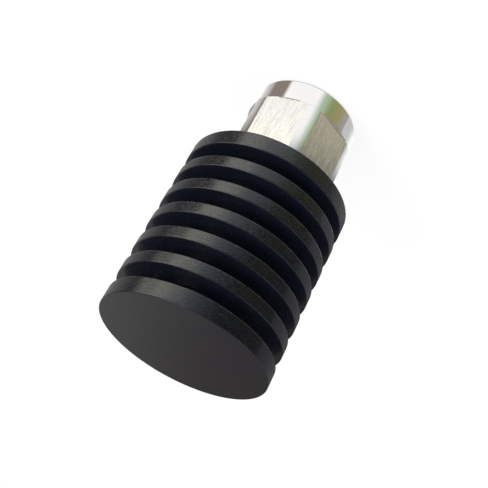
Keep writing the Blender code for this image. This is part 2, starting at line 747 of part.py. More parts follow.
def make_screws(parts, cutters):
    """Two screws hold the carrier to the shell, and two hold the resistor to the carrier."""
    steel = finish_of("stainless steel", (0.55, 0.54, 0.52), 0.3, 1.0)
    carrier_sizes = (
        carrier_screw_head_diameter,
        CARRIER_SCREW_HEAD_HEIGHT,
        carrier_screw_diameter,
        CARRIER_SCREW_LENGTH,
    )
    flange_sizes = (
        flange_screw_head_diameter,
        FLANGE_SCREW_HEAD_HEIGHT,
        FLANGE_SCREW_DIAMETER,
        FLANGE_SCREW_LENGTH,
    )
    washer_outer = WASHER_DIAMETER / 2
    washer_inner = FLANGE_SCREW_DIAMETER / 2 + FIT_GAP
    washer_profile = [
        (washer_outer, WASHER_THICKNESS),
        (washer_outer, 0.0),
        (washer_inner, 0.0),
        (washer_inner, WASHER_THICKNESS),
    ]
    upright_to_y = math.radians(-90)
    for number, side in ((1, -1), (2, 1)):
        screw = complete(
            slotted_screw(f"carrier_screw_{number}", carrier_sizes, parts, cutters), steel
        )
        screw.location = (side * carrier_screw_spacing / 2, 0.0, disc_back_z + FIT_GAP)
        screw = complete(
            slotted_screw(f"flange_screw_{number}", flange_sizes, parts, cutters), steel
        )
        across = side * flange_screw_spacing / 2
        screw.location = (across, flange_screw_y, flange_screw_z)
        screw.rotation_euler.x = upright_to_y
        washer = turned(f"flange_washer_{number}", washer_profile, SCREW_SEGMENTS, True, parts)
        complete(washer, steel)
        washer.location = (across, washer_bottom_y, flange_screw_z)
        washer.rotation_euler.x = upright_to_y


def build():
    clear_scene()
    parts = new_collection("coaxial_terminator")
    cutters = new_collection("cutters")
    make_heatsink(parts)
    make_coupling_nut(parts, cutters)
    make_connector_shell(parts, cutters)
    make_snap_ring(parts, cutters)
    make_mating_gasket(parts)
    make_mouth_o_ring(parts)
    make_centre_pin(parts, cutters)
    make_beads(parts)
    make_line_sleeve(parts)
    make_resistor_carrier(parts, cutters)
    make_resistor(parts, cutters)
    make_screws(parts, cutters)


build()
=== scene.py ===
import math

import bpy
import numpy as np
from mathutils import Matrix, Vector


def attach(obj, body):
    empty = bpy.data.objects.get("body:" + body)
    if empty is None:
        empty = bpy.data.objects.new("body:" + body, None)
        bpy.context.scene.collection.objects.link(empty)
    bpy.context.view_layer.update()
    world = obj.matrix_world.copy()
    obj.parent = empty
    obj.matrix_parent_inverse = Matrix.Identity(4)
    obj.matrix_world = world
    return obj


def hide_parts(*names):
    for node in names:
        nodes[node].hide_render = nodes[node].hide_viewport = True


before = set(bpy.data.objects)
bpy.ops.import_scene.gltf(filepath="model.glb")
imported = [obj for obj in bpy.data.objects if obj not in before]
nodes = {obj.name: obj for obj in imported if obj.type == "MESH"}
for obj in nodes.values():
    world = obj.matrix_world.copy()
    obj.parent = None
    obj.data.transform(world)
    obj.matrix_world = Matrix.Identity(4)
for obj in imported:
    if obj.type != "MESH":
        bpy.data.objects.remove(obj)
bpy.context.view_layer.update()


# Camera
# It looks down on the heatsink's end disc from the front, and is rolled by more than half a turn,
# so that the disc is low on the left of the picture and the coupling nut high on the right.
CAMERA_PLACE = (0.0, -0.13023, 0.10332)
CAMERA_DOWN = math.radians(27.865)
CAMERA_ROLL = math.radians(208.209)
CAMERA_ASIDE = (math.radians(-0.946), math.radians(1.048))
CAMERA_LENS = 64.07
CAMERA_FILM = 36.0
CAMERA_CLIP = (0.01, 10.0)

camera_data = bpy.data.cameras.new("studio_camera")
camera_data.lens = CAMERA_LENS
camera_data.sensor_width = CAMERA_FILM
camera_data.clip_start, camera_data.clip_end = CAMERA_CLIP
camera = bpy.data.objects.new("studio_camera", camera_data)
bpy.context.scene.collection.objects.link(camera)
camera_turn = (
    Matrix.Rotation(math.radians(90) - CAMERA_DOWN, 4, "X")
    @ Matrix.Rotation(CAMERA_ROLL, 4, "Z")
    @ Matrix.Rotation(CAMERA_ASIDE[0], 4, "Y")
    @ Matrix.Rotation(CAMERA_ASIDE[1], 4, "X")
)
camera.matrix_world = Matrix.Translation(CAMERA_PLACE) @ camera_turn
bpy.context.scene.camera = camera
bpy.context.scene.view_settings.view_transform = "Standard"


# Floor
# A pale sheet that the terminator stands on, nut down. The camera sees it as white, with the
# part's soft shadow kept. Mirror rays go past it, so that the metal shows the room.
FLOOR_HALF_WIDTH = 1.5
FLOOR_PALE = (0.80, 0.80, 0.80, 1.0)
FLOOR_SHADOW_SHARE = 0.25
FLOOR_WHITE = 0.80


def fill_socket(tree, socket, value):
    """Links another node's output to the socket, or sets the socket to a constant."""
    if isinstance(value, bpy.types.NodeSocket):
        tree.links.new(value, socket)
    else:
        socket.default_value = value


def add_node(tree, kind, **inputs):
    """A node of that kind, with its named inputs filled, or numbered ones such as i0."""
    node = tree.nodes.new(kind)
    for key, value in inputs.items():
        numbered = key[0] == "i" and key[1:].isdigit()
        fill_socket(tree, node.inputs[int(key[1:]) if numbered else key], value)
    return node


def work_out(tree, operation, first, second):
    """The result of a maths node on two values."""
    node = add_node(tree, "ShaderNodeMath", i0=first, i1=second)
    node.operation = operation
    return node.outputs[0]


def seen_directly(tree):
    """1 for a ray from the camera or through clear matter, and 0 for any other."""
    ray = tree.nodes.new("ShaderNodeLightPath").outputs
    return work_out(tree, "MAXIMUM", ray["Is Camera Ray"], ray["Is Transmission Ray"])


floor_mesh = bpy.data.meshes.new("floor")
floor_corners = np.array([(-1, -1, 0), (1, -1, 0), (1, 1, 0), (-1, 1, 0)]) * FLOOR_HALF_WIDTH
floor_mesh.from_pydata(floor_corners.tolist(), [], [(0, 1, 2, 3)])
floor = bpy.data.objects.new("floor", floor_mesh)
bpy.context.scene.collection.objects.link(floor)
floor.visible_glossy = False
floor_paint = bpy.data.materials.new("pale_floor")
floor_paint.use_nodes = True
tree = floor_paint.node_tree
tree.nodes.clear()
pale = add_node(tree, "ShaderNodeBsdfDiffuse", Color=FLOOR_PALE)
shadowed = add_node(
    tree, "ShaderNodeBsdfDiffuse", Color=(FLOOR_SHADOW_SHARE,) * 3 + (1.0,)
)
white = add_node(tree, "ShaderNodeEmission", Strength=FLOOR_WHITE)
both = add_node(tree, "ShaderNodeAddShader", i0=shadowed.outputs[0], i1=white.outputs[0])
mixed = add_node(
    tree, "ShaderNodeMixShader", i0=seen_directly(tree), i1=pale.outputs[0], i2=both.outputs[0]
)
add_node(tree, "ShaderNodeOutputMaterial", Surface=mixed.outputs[0])
floor_mesh.materials.append(floor_paint)


# Room
# The part is lit by a plain white room. Only mirror rays see the soft tones below, which were set
# by comparing renders with the photograph: window, shelf, plants and walls as the metal shows them.
ROOM_PLAIN = 0.75
WHITE = (1.20, 1.21, 1.24)
WINDOW = (1.75, 1.72, 1.50)
SKY = (0.48, 0.55, 0.62)
SLATE = (0.13, 0.165, 0.19)
GREY = (0.66, 0.67, 0.69)
DIM = (0.42, 0.41, 0.39)
SHADE = (0.34, 0.34, 0.355)
CURTAIN = (0.19, 0.19, 0.205)
DUSK = (0.14, 0.14, 0.155)
DARK = (0.038, 0.039, 0.030)
UMBER = (0.134, 0.115, 0.100)
WOOD = (0.31, 0.25, 0.23)
LEAF = (0.47, 0.62, 0.44)
OLIVE = (0.30, 0.36, 0.145)
KHAKI = (0.40, 0.35, 0.17)


def wall_with_window(window_from, window_to):
    """What stands round the part above the bench: directions in degrees, and their tones."""
    return (
        (-170, DARK),
        (-112, DARK),
        (-92, SLATE),
        (window_from - 22, SKY),
        (window_from, WINDOW),
        (window_to, WINDOW),
        (window_to + 14, DUSK),
        (10, DUSK),
        (32, SHADE),
        (64, DIM),
        (92, DARK),
        (130, CURTAIN),
        (165, CURTAIN),
    )


# Each band of the room has its tones, and the heights between which it takes over from the
# band below it. A height is the upward part of a direction, from -1 to 1.
ROOM_BANDS = (
    (((-90, GREY), (90, GREY)), None),
    (
        (
            (-174, DIM),
            (-152, KHAKI),
            (-130, OLIVE),
            (-110, LEAF),
            (-92, WHITE),
            (-28, WHITE),
            (-18, WOOD),
            (12, WOOD),
            (30, GREY),
            (55, WHITE),
            (118, WHITE),
            (158, GREY),
        ),
        (-0.80, -0.70),
    ),
    (wall_with_window(-50, -31), (-0.605, -0.575)),
    (wall_with_window(-31, -9), (-0.435, -0.412)),
    (
        (
            (-158, DIM),
            (-130, DUSK),
            (-64, DARK),
            (-50, WHITE),
            (-25, WHITE),
            (-8, DARK),
            (40, DARK),
            (60, DIM),
            (78, DIM),
            (94, UMBER),
            (120, UMBER),
            (170, DIM),
        ),
        (0.02, 0.28),
    ),
)


def tone_ramp(tree, turn, tones):
    """Blends the tones by direction, where turn runs from 0 at -180 degrees to 1 at 180."""
    ramp = add_node(tree, "ShaderNodeValToRGB", Fac=turn)
    ramp.color_ramp.interpolation = "EASE"
    while len(ramp.color_ramp.elements) < len(tones):
        ramp.color_ramp.elements.new(0.5)
    for stop, (degrees, tone) in zip(ramp.color_ramp.elements, tones):
        stop.position = (degrees + 180) / 360
        stop.color = (*tone, 1.0)
    return ramp.outputs["Color"]


def height_share(tree, height, low, high):
    """0 below the low height and 1 above the high one, with a smooth step between them."""
    share = add_node(
        tree, "ShaderNodeMapRange", **{"Value": height, "From Min": low, "From Max": high}
    )
    share.interpolation_type = "SMOOTHSTEP"
    return share.outputs[0]


def mix_colour(tree, share, first, second):
    """The first colour where the share is 0 and the second where it is 1."""
    mix = tree.nodes.new("ShaderNodeMix")
    mix.data_type = "RGBA"
    for number, value in ((0, share), (6, first), (7, second)):
        fill_socket(tree, mix.inputs[number], value)
    return mix.outputs[2]


world = bpy.data.worlds.new("white_room")
bpy.context.scene.world = world
world.use_nodes = True
tree = world.node_tree
tree.nodes.clear()
direction = add_node(
    tree,
    "ShaderNodeSeparateXYZ",
    Vector=tree.nodes.new("ShaderNodeTexCoord").outputs["Generated"],
)
angle = work_out(tree, "ARCTAN2", direction.outputs["Y"], direction.outputs["X"])
turn = add_node(
    tree, "ShaderNodeMapRange", **{"Value": angle, "From Min": -math.pi, "From Max": math.pi}
)
height = direction.outputs["Z"]
for tones, heights in ROOM_BANDS:
    band = tone_ramp(tree, turn.outputs[0], tones)
    if heights is None:
        mirrored = band
    else:
        mirrored = mix_colour(tree, height_share(tree, height, *heights), mirrored, band)
mirror_ray = tree.nodes.new("ShaderNodeLightPath").outputs["Is Glossy Ray"]
room = mix_colour(tree, mirror_ray, (ROOM_PLAIN,) * 3 + (1.0,), mirrored)
room = mix_colour(tree, seen_directly(tree), room, (1.0, 1.0, 1.0, 1.0))
background = add_node(tree, "ShaderNodeBackground", Color=room)
add_node(tree, "ShaderNodeOutputWorld", Surface=background.outputs[0])


# Lamps
# Two soft boxes: a stronger one in front on the +X side, and a weaker, wider one opposite that
# fills in. Each has its place, width, power and colour. The metal doesn't mirror them.
LAMP_AIM = Vector((0.0, 0.0, 0.026))
LAMPS = (
    ("soft_box", (0.38, -0.26, 0.36), 0.30, 1.3, (1.0, 0.985, 0.96)),
    ("fill_box", (-0.42, -0.10, 0.30), 0.40, 0.6, (0.96, 0.98, 1.0)),
)
for lamp_name, place, width, power, colour in LAMPS:
    lamp_data = bpy.data.lights.new(lamp_name, "AREA")
    lamp_data.shape = "SQUARE"
    lamp_data.size = width
    lamp_data.energy = power
    lamp_data.color = colour
    lamp = bpy.data.objects.new(lamp_name, lamp_data)
    lamp.location = place
    lamp.visible_glossy = False
    lamp.rotation_mode = "QUATERNION"
    lamp.rotation_quaternion = (LAMP_AIM - Vector(place)).to_track_quat("-Z", "Y")
    bpy.context.scene.collection.objects.link(lamp)


# Connector shell
# The plug's brass body, turned in one piece and nickel plated: six spring fingers round the
# mouth, the neck that the nut turns on, a flange with two wrench flats, and the threaded shank.
CONTACT_RADIUS = 0.0040
LINE_RADIUS = 0.0035
CONTACT_RIM_Z = 0.0022
CONTACT_RIM_BREAK = 0.0002
INNER_BREAK_SHARE = 0.3
SLOT_END_Z = 0.0087
SLOT_HALF_WIDTH = 0.00025
FINGER_COUNT = 6
NECK_RADIUS = 0.0064
NECK_FRONT_Z = 0.0130
RING_SLOT_RADIUS = 0.00515
RING_SLOT_Z = (0.0138, 0.0151)
FLANGE_RADIUS = 0.0092
FLANGE_ACROSS = 0.0170
FLANGE_Z = (0.0170, 0.0184)
RELIEF_RADIUS = 0.0070
SHANK_RADIUS = 0.00775
SHANK_THREAD_Z = 0.0200
SHANK_BACK_Z = 0.0258
BEAD_SEAT_Z = 0.0143
BEAD_BORE_RADIUS = 0.0043
FLANGE_FROM_RADIUS = 0.0080
LEAST_COSINE = 0.2
SHELL_BREAK = 0.00006
SHELL_COLUMNS = 240
FINGER_STEPS = 12
CORNER_STEPS = 4
LONGEST_BREAK = 0.38
FLAT_KEEPER = 1.3
WRENCH_SOFTNESS = 0.00002


def softened(profile, breaks, closed):
    """Rounds the corners of a profile of (radius, z) points.

    Each corner B is cut back to A and C, at its break's length along its two sides but no more
    than a share of the shorter one, and bridged by the parabola (1-t)^2 A + 2t(1-t) B + t^2 C. One
    more point on each side, a little farther out, keeps the flat between two corners flat when it
    is shaded.
    """
    corners = np.asarray(profile, float)
    before, after = np.roll(corners, 1, axis=0), np.roll(corners, -1, axis=0)
    sides = [before - corners, after - corners]
    lengths = [np.linalg.norm(side, axis=1, keepdims=True) for side in sides]
    reach = np.broadcast_to(np.asarray(breaks, float), len(corners))[:, None]
    reach = np.minimum(reach, LONGEST_BREAK * np.minimum(*lengths))
    back, on = [(side / length * reach)[:, None] for side, length in zip(sides, lengths)]
    middle = corners[:, None]
    t = np.linspace(0.0, 1.0, CORNER_STEPS + 1)[None, :, None]
    arcs = (1 - t) ** 2 * (middle + back) + 2 * t * (1 - t) * middle + t**2 * (middle + on)
    rows = np.concatenate(
        [middle + FLAT_KEEPER * back, arcs, middle + FLAT_KEEPER * on], axis=1
    )
    if closed:
        return rows.reshape(-1, 2)
    return np.concatenate([corners[:1], rows[1:-1].reshape(-1, 2), corners[-1:]])


def grid_faces(rows, columns, wrap_rows):
    """Quads between neighbouring rows and columns. The columns always close on themselves."""
    row = np.arange(rows if wrap_rows else rows - 1)[:, None]
    column = np.arange(columns)[None, :]
    below, beside = (row + 1) % rows, (column + 1) % columns
    corners = [(row, column), (below, column), (below, beside), (row, beside)]
    return np.stack([r * columns + c for r, c in corners], axis=-1).reshape(-1, 4)


def mesh_from(name, points, quads, triangles=None):
    """A smooth mesh from an array of points and arrays of quads and triangles."""
    mesh = bpy.data.meshes.new(name)
    triangles = np.empty((0, 3), int) if triangles is None else triangles
    loops = np.concatenate([quads.ravel(), triangles.ravel()])
    sizes = np.concatenate([np.full(len(quads), 4), np.full(len(triangles), 3)])
    mesh.vertices.add(len(points))
    mesh.vertices.foreach_set("co", np.ascontiguousarray(points, np.float32).ravel())
    mesh.loops.add(len(loops))
    mesh.loops.foreach_set("vertex_index", loops.astype(np.int32))
    mesh.polygons.add(len(sizes))
    mesh.polygons.foreach_set("loop_start", (np.cumsum(sizes) - sizes).astype(np.int32))
    mesh.update(calc_edges=True)
    mesh.validate()
    mesh.shade_smooth()
    return mesh


def turned_points(radius, level, angles):
    """Turns radii r and levels z by the angles a round Z, to (r cos a, r sin a, z)."""
    return np.stack(
        [radius * np.cos(angles), radius * np.sin(angles), level + 0 * angles], axis=-1
    )


def soft_least(first, second, softness):
    """The lesser of two values, rounded where they meet: -k ln(exp(-a/k) + exp(-b/k))."""
    least = np.minimum(first, second)
    return least - softness * np.log1p(np.exp(-np.abs(first - second) / softness))


def add_piece(name, mesh, body, replaced, materials):
    """Puts the mesh in the scene in place of its node, on its body, with its finishes."""
    piece = bpy.data.objects.new(name, mesh)
    bpy.context.scene.collection.objects.link(piece)
    for material in materials:
        mesh.materials.append(material)
    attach(piece, body)
    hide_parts(replaced)


def new_finish(name, **settings):
    """A Principled material with those constant settings. Returns the material, tree and shader."""
    material = bpy.data.materials.new(name)
    material.use_nodes = True
    tree = material.node_tree
    shader = tree.nodes["Principled BSDF"]
    for key, value in settings.items():
        shader.inputs[key.replace("_", " ")].default_value = value
    return material, tree, shader


def object_place(tree, scale=(1.0, 1.0, 1.0)):
    """The Object coordinate, scaled along x, y and z."""
    place = tree.nodes.new("ShaderNodeTexCoord").outputs["Object"]
    return add_node(tree, "ShaderNodeMapping", Vector=place, Scale=scale).outputs[0]


def grain(tree, place, scale, detail=2.0, rough=0.5):
    """Smooth noise from 0 to 1, with that many grains to the unit of place."""
    noise = add_node(
        tree, "ShaderNodeTexNoise", Vector=place, Scale=scale, Detail=detail, Roughness=rough
    )
    return noise.outputs[0]


def spread(tree, value, low, high, start=0.3, end=0.7):
    """Stretches a noise value from start..end to low..high."""
    share = add_node(
        tree,
        "ShaderNodeMapRange",
        **{"Value": value, "From Min": start, "From Max": end, "To Min": low, "To Max": high},
    )
    return share.outputs[0]


def set_tone(tree, shader, noise, pale_tone, dark_tone):
    """Lets the colour drift from the pale tone to the dark one as the noise rises."""
    share = spread(tree, noise, 0.0, 1.0)
    tint = mix_colour(tree, share, (*pale_tone, 1.0), (*dark_tone, 1.0))
    tree.links.new(tint, shader.inputs["Base Color"])


def set_roughness(tree, shader, noise, low, high):
    """Lets the roughness drift from low to high as the noise rises."""
    tree.links.new(spread(tree, noise, low, high), shader.inputs["Roughness"])


def add_bump(tree, shader, height, strength, distance, before=None):
    """Turns a height into a change of the shader's normal, on top of an earlier one if given."""
    bump = add_node(tree, "ShaderNodeBump", Height=height, Strength=strength, Distance=distance)
    if before is not None:
        tree.links.new(before.outputs[0], bump.inputs["Normal"])
    tree.links.new(bump.outputs[0], shader.inputs["Normal"])
    return bump


def axis_distance(tree):
    """How far a place is from the Z axis, and its height, as a vector for turning marks."""
    place = add_node(
        tree,
        "ShaderNodeSeparateXYZ",
        Vector=tree.nodes.new("ShaderNodeTexCoord").outputs["Object"],
    )
    flat = add_node(tree, "ShaderNodeCombineXYZ", X=place.outputs["X"], Y=place.outputs["Y"])
    length = add_node(tree, "ShaderNodeVectorMath", i0=flat.outputs[0])
    length.operation = "LENGTH"
    pair = add_node(
        tree, "ShaderNodeCombineXYZ", X=length.outputs["Value"], Z=place.outputs["Z"]
    )
    return pair.outputs[0]


def turned_nickel(name, roughness):
    """Bright nickel over turned brass: faint rings from the lathe, and small changes of gloss."""
    material, tree, shader = new_finish(name, Metallic=1.0)
    cloud = grain(tree, object_place(tree), 260.0, 3.0)
    set_tone(tree, shader, cloud, (0.80, 0.785, 0.76), (0.76, 0.74, 0.71))
    rings = grain(tree, axis_distance(tree), 14000.0, 2.0)
    fine = grain(tree, object_place(tree), 4200.0, 2.0)
    set_roughness(tree, shader, fine, 0.8 * roughness, 1.25 * roughness)
    add_bump(tree, shader, rings, 0.10, 0.000002)
    return material


def finger_mesh_parts():
    """The six spring fingers as closed curved plates.

    A finger's section is a ring sector: the outer arc one way and the inner arc back, each cut
    short by the slot's half width w at the angle asin(w / r). The section is carried up in levels,
    and the lowest levels have the rim's break.
    """
    in_breaks = np.array([0.0, 0.3, 0.7, 1.0, 1.2, 6.0, 12.0, 25.0])
    levels = np.append(in_breaks * CONTACT_RIM_BREAK + CONTACT_RIM_Z, SLOT_END_Z)
    share = np.clip((levels - CONTACT_RIM_Z) / CONTACT_RIM_BREAK, 0.0, 1.0)
    outer = CONTACT_RADIUS - CONTACT_RIM_BREAK * (1 - np.sqrt(1 - (1 - share) ** 2))
    inner = LINE_RADIUS + INNER_BREAK_SHARE * CONTACT_RIM_BREAK * (1 - share) ** 2
    along = np.linspace(0.0, 1.0, FINGER_STEPS)

    def arc(radius, way):
        half = math.pi / FINGER_COUNT - np.arcsin(SLOT_HALF_WIDTH / radius)[:, None]
        angle = half * (2 * along[::way] - 1)
        return radius[:, None] * np.exp(1j * angle)

    section = np.concatenate([arc(outer, 1), arc(inner, -1)], axis=1)
    middles = np.arange(FINGER_COUNT) * math.tau / FINGER_COUNT + math.pi / FINGER_COUNT
    flat = section[None] * np.exp(1j * middles)[:, None, None]
    height = np.broadcast_to(levels[None, :, None], flat.shape)
    points = np.stack([flat.real, flat.imag, height], axis=-1)
    rows, columns = len(levels), 2 * FINGER_STEPS
    walls = grid_faces(rows, columns, False)[:, ::-1]
    step = np.arange(FINGER_STEPS - 1)
    rim = np.stack([step, columns - 1 - step, columns - 2 - step, step + 1], axis=1)
    faces = np.concatenate([walls, rim, rim[:, ::-1] + (rows - 1) * columns])
    offsets = np.arange(FINGER_COUNT)[:, None, None] * rows * columns
    return points.reshape(-1, 3), (faces[None] + offsets).reshape(-1, 4)


shell_profile = softened(
    [
        (SHANK_RADIUS, SHANK_BACK_Z),
        (SHANK_RADIUS, SHANK_THREAD_Z),
        (RELIEF_RADIUS, SHANK_THREAD_Z),
        (RELIEF_RADIUS, FLANGE_Z[1]),
        (FLANGE_RADIUS, FLANGE_Z[1]),
        (FLANGE_RADIUS, FLANGE_Z[0]),
        (NECK_RADIUS, FLANGE_Z[0]),
        (NECK_RADIUS, RING_SLOT_Z[1]),
        (RING_SLOT_RADIUS, RING_SLOT_Z[1]),
        (RING_SLOT_RADIUS, RING_SLOT_Z[0]),
        (NECK_RADIUS, RING_SLOT_Z[0]),
        (NECK_RADIUS, NECK_FRONT_Z),
        (CONTACT_RADIUS, NECK_FRONT_Z),
        (CONTACT_RADIUS, SLOT_END_Z),
        (LINE_RADIUS, SLOT_END_Z),
        (LINE_RADIUS, BEAD_SEAT_Z),
        (BEAD_BORE_RADIUS, BEAD_SEAT_Z),
        (BEAD_BORE_RADIUS, SHANK_BACK_Z),
    ],
    SHELL_BREAK,
    closed=True,
)
# Only the flange is wider than FLANGE_FROM_RADIUS. A wrench flat cuts its rows at half the width
# across the flats over cos(angle), and the rows of its edge breaks by as much more as they are
# narrower than the flange.
shell_angles = np.arange(SHELL_COLUMNS) * math.tau / SHELL_COLUMNS
shell_radius, shell_level = shell_profile[:, :1], shell_profile[:, 1:]
wrench_reach = FLANGE_ACROSS / 2 / np.maximum(np.abs(np.cos(shell_angles)), LEAST_COSINE)
wrench_limit = wrench_reach[None, :] - (FLANGE_RADIUS - shell_radius)
shell_radius = np.where(
    shell_radius > FLANGE_FROM_RADIUS,
    soft_least(shell_radius, wrench_limit, WRENCH_SOFTNESS),
    shell_radius,
)
shell_points = turned_points(shell_radius, shell_level, shell_angles).reshape(-1, 3)
finger_points, finger_faces = finger_mesh_parts()
shell_faces = grid_faces(len(shell_profile), SHELL_COLUMNS, True)
shell_mesh = mesh_from(
    "plug_shell",
    np.concatenate([shell_points, finger_points]),
    np.concatenate([shell_faces, finger_faces + len(shell_points)]),
)
plated_shell = turned_nickel("plated_shell", 0.16)
add_piece("plug_shell", shell_mesh, "load_body", "connector_shell", [plated_shell])


# Centre pin
# The inner conductor, turned from brass and gold plated. Its tip enters the jack's socket, its
# collar is trapped by the two beads, and its tail has a milled flat for the resistor's tab.
PIN_TIP_Z = 0.0007
PIN_TIP_RADIUS = 0.000825
PIN_TIP_END_RADIUS = 0.00035
PIN_TIP_TAPER = 0.0006
PIN_SHOULDER_Z = 0.0075
PIN_RADIUS = 0.00152
PIN_COLLAR_RADIUS = 0.0022
PIN_COLLAR_Z = (0.0178, 0.0187)
PIN_TAIL_Z = 0.0276
PIN_TAIL_RADIUS = 0.0008
PIN_END_Z = 0.0326
PIN_FLAT_LENGTH = 0.0022
PIN_FLAT_Y = -0.0002
PIN_LEAST_RADIUS = 0.0001
PIN_COLUMNS = 96


def turned_piece(name, profile, columns, closed):
    """A profile turned round Z. It runs down the outer side and, if closed, back up the inner one.

    An open profile starts and ends on the axis, where the rows shrink to one point.
    """
    angles = np.arange(columns) * math.tau / columns
    points = turned_points(profile[:, :1], profile[:, 1:], angles)
    if closed:
        return mesh_from(name, points.reshape(-1, 3), grid_faces(len(points), columns, True))
    poles, points = points[[0, -1], 0], points[1:-1]
    rows = len(points)
    quads = grid_faces(rows, columns, False)
    column = np.arange(columns)
    beside = (column + 1) % columns
    top, bottom = rows * columns, rows * columns + 1
    last = (rows - 1) * columns
    fans = np.concatenate(
        [
            np.stack([np.full(columns, top), column, beside], axis=1),
            np.stack([last + column, np.full(columns, bottom), last + beside], axis=1),
        ]
    )
    return mesh_from(name, np.concatenate([points.reshape(-1, 3), poles]), quads, fans)


# The lengths of the edge breaks, in the order of the corners.
pin_breaks = 0.001 * np.array(
    [0, 0.03, 0.01, 0.03, 0.08, 0.03, 0.03, 0.03, 0.03, 0.12, 0.03, 0.25, 0.2, 0]
)
pin_profile = softened(
    [
        (0.0, PIN_END_Z),
        (PIN_TAIL_RADIUS, PIN_END_Z),
        (PIN_TAIL_RADIUS, PIN_END_Z - PIN_FLAT_LENGTH),
        (PIN_TAIL_RADIUS, PIN_TAIL_Z),
        (PIN_RADIUS, PIN_TAIL_Z),
        (PIN_RADIUS, PIN_COLLAR_Z[1]),
        (PIN_COLLAR_RADIUS, PIN_COLLAR_Z[1]),
        (PIN_COLLAR_RADIUS, PIN_COLLAR_Z[0]),
        (PIN_RADIUS, PIN_COLLAR_Z[0]),
        (PIN_RADIUS, PIN_SHOULDER_Z),
        (PIN_TIP_RADIUS, PIN_SHOULDER_Z),
        (PIN_TIP_RADIUS, PIN_TIP_Z + PIN_TIP_TAPER),
        (PIN_TIP_END_RADIUS, PIN_TIP_Z),
        (0.0, PIN_TIP_Z),
    ],
    pin_breaks,
    closed=False,
)
pin_mesh = turned_piece("gold_pin", pin_profile, PIN_COLUMNS, closed=False)

# The flat at the tail: a point above it is brought down to it, and spread evenly along it by its
# angle. The flat lies lower for the smaller rows of the end face, so that the edge break runs on.
pin_points = np.empty(len(pin_mesh.vertices) * 3, np.float32)
pin_mesh.vertices.foreach_get("co", pin_points)
pin_points = pin_points.reshape(-1, 3).astype(float)
from_axis = np.maximum(np.hypot(pin_points[:, 0], pin_points[:, 1]), PIN_LEAST_RADIUS)
flat_level = PIN_FLAT_Y - (PIN_TAIL_RADIUS - from_axis)
start_angle = np.arcsin(np.clip(flat_level / from_axis, -1.0, 0.0))
past_start = (np.arctan2(pin_points[:, 1], pin_points[:, 0]) - start_angle) % math.tau
across_share = past_start / (math.pi - 2 * start_angle)
milled = (pin_points[:, 2] > PIN_END_Z - PIN_FLAT_LENGTH) & (pin_points[:, 1] > flat_level)
half_width = from_axis * np.cos(start_angle)
pin_points[milled, 0] = (half_width * (1 - 2 * across_share))[milled]
pin_points[milled, 1] = flat_level[milled]
# The middle of the end face goes to the middle of what the flat leaves of it.
pin_points[-2] = (0.0, (PIN_FLAT_Y - PIN_TAIL_RADIUS) / 2, PIN_END_Z)
pin_mesh.vertices.foreach_set("co", pin_points.astype(np.float32).ravel())
pin_mesh.update()

gold, tree, shader = new_finish("gold_plate", Metallic=1.0)
cloud = grain(tree, object_place(tree), 700.0, 3.0)
set_tone(tree, shader, cloud, (0.93, 0.70, 0.32), (0.86, 0.61, 0.25))
set_roughness(tree, shader, grain(tree, object_place(tree), 6000.0), 0.14, 0.24)
add_bump(tree, shader, grain(tree, axis_distance(tree), 16000.0), 0.12, 0.000002)
add_piece("gold_pin", pin_mesh, "load_body", "centre_pin", [gold])


# Beads
# Two white fluoroplastic rings, turned from rod, that hold the pin on the axis. The front one
# shows at the bottom of the contact, and the rear one stays inside with its plain solid.
BEAD_HOLE_RADIUS = 0.00162
BEAD_OUTER_RADIUS = 0.0042
FRONT_BEAD_Z = (0.0144, 0.0176)
BEAD_COLUMNS = 144

bead_profile = softened(
    [
        (BEAD_OUTER_RADIUS, FRONT_BEAD_Z[1]),
        (BEAD_OUTER_RADIUS, FRONT_BEAD_Z[0]),
        (BEAD_HOLE_RADIUS, FRONT_BEAD_Z[0]),
        (BEAD_HOLE_RADIUS, FRONT_BEAD_Z[1]),
    ],
    0.00008,
    closed=True,
)
bead_mesh = turned_piece("front_white_bead", bead_profile, BEAD_COLUMNS, closed=True)
fluoroplastic, tree, shader = new_finish("white_fluoroplastic", Specular_IOR_Level=0.35)
cloud = grain(tree, object_place(tree), 900.0, 3.0)
set_tone(tree, shader, cloud, (0.86, 0.85, 0.82), (0.80, 0.79, 0.755))
set_roughness(tree, shader, cloud, 0.38, 0.52)
add_bump(tree, shader, grain(tree, axis_distance(tree), 9000.0), 0.25, 0.000006)
add_piece(
    "front_white_bead", bead_mesh, "load_body", "front_bead", [fluoroplastic]
)


def finish_node(node_name, material):
    """Gives a solid that keeps its own mesh its finish."""
    node_mesh = nodes[node_name].data
    node_mesh.materials.clear()
    node_mesh.materials.append(material)


finish_node("rear_bead", fluoroplastic)


# Line sleeve
# A plain brass tube behind the beads. It presses them against their seat and carries the
# coaxial line's bore on to the resistor.
brass, tree, shader = new_finish("turned_brass", Metallic=1.0)
cloud = grain(tree, object_place(tree), 420.0, 4.0)
set_tone(tree, shader, cloud, (0.80, 0.60, 0.29), (0.66, 0.46, 0.20))
set_roughness(tree, shader, cloud, 0.24, 0.38)
add_bump(tree, shader, grain(tree, axis_distance(tree), 12000.0), 0.3, 0.000004)
finish_node("line_sleeve", brass)


# Snap ring
# A flat ring of spring steel with one split, sprung into the neck's slot. The nut's inner lip
# bears on it, so the nut turns but can't come off.
spring_steel, tree, shader = new_finish("spring_steel", Metallic=1.0)
cloud = grain(tree, object_place(tree), 800.0, 3.0)
set_tone(tree, shader, cloud, (0.50, 0.49, 0.47), (0.38, 0.37, 0.36))
set_roughness(tree, shader, cloud, 0.28, 0.42)
add_bump(tree, shader, grain(tree, axis_distance(tree), 15000.0), 0.3, 0.000003)
finish_node("snap_ring", spring_steel)


